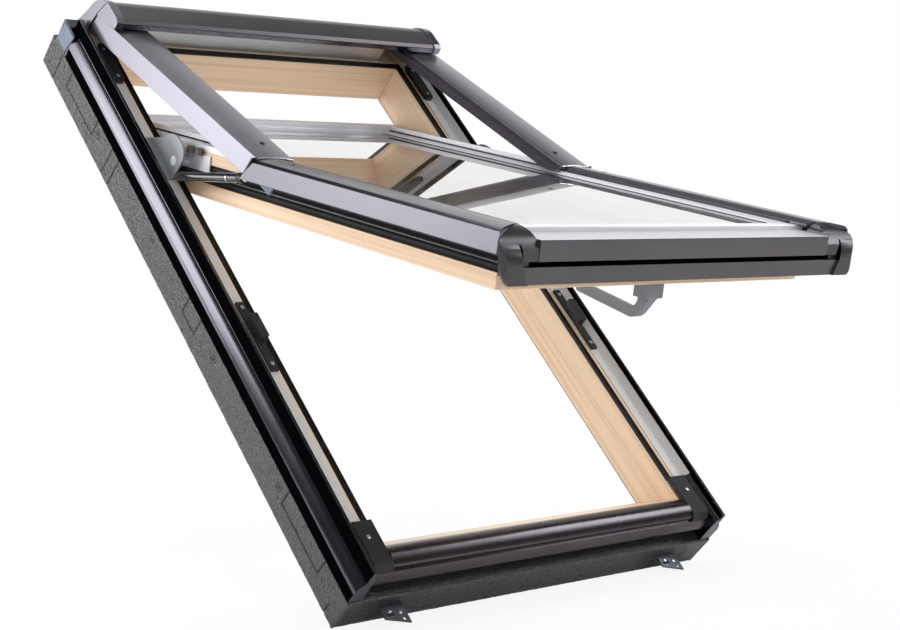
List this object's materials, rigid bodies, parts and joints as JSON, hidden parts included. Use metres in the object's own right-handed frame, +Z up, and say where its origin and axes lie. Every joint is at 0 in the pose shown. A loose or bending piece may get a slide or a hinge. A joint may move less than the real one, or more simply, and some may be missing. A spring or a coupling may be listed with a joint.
{
  "type": "roof window",
  "caption": "Centre-pivot pitched-roof window: pine frame in an insulating block, sash tilted open with double glazing, sheet covers, hood and fixing brackets.",
  "frame": {"origin": "centre of the underside of the left fixing bracket, where it lies on the roof", "axes": "+Z up, +Y up the roof's slope seen from above, +X to the right across the window; the frame leans back at the roof's 45 degree pitch"},
  "size_m": [0.74, 1.1684, 0.9258],
  "materials": {
    "foam_block": "grainy moulded bead foam, nearly black",
    "steel_plate": "dull galvanised plate",
    "pine": "clear satin lacquer on pale pinkish pine, soft grain along each rail",
    "rubber_seal": "black, matt",
    "dark_cover": "satin anthracite lacquer on thin sheet",
    "dark_plastic": "dark grey moulded, satin",
    "zinc_strip": "bright zinc, slightly bluish",
    "spacer_bar": "satin",
    "glass": "clear pane with a faint green edge",
    "silver_bead": "satin silver",
    "hinge_grey": "cast, grey coated",
    "spring_black": "gloss black tube",
    "handle_grey": "satin grey"
  },
  "bodies": {
    "root": {"arm_left": "dark_cover", "arm_right": "dark_cover", "block_bottom": "foam_block", "block_left": "foam_block", "block_right": "foam_block", "block_top": "foam_block", "bracket_left": "steel_plate", "bracket_right": "steel_plate", "catch_left": "zinc_strip", "catch_right": "zinc_strip", "corner_cap_left": "dark_plastic", "corner_cap_right": "dark_plastic", "corner_plate_left": "zinc_strip", "corner_plate_right": "zinc_strip", "foot_profile": "dark_cover", "frame_cover_left": "dark_cover", "frame_cover_right": "dark_cover", "frame_head": "pine", "frame_hinge_left": "hinge_grey", "frame_hinge_right": "hinge_grey", "frame_seal": "rubber_seal", "frame_sill": "pine", "frame_stile_left": "pine", "frame_stile_right": "pine", "glass_inner": "glass", "glass_outer": "glass", "glass_spacer": "spacer_bar", "glazing_bead": "silver_bead", "handle": "handle_grey", "head_cover": "dark_cover", "hood_cap_left": "dark_cover", "hood_cap_right": "dark_cover", "hood_face": "dark_cover", "hood_shell": "dark_cover", "rebate_strip_left": "zinc_strip", "rebate_strip_right": "zinc_strip", "sash_foot": "pine", "sash_head": "pine", "sash_hinge_left": "zinc_strip", "sash_hinge_right": "zinc_strip", "sash_stile_left": "pine", "sash_stile_right": "pine", "side_cover_left": "dark_cover", "side_cover_right": "dark_cover", "sill_cover": "dark_cover", "spring_left": "spring_black", "spring_right": "spring_black"}
  },
  "joints": []
}
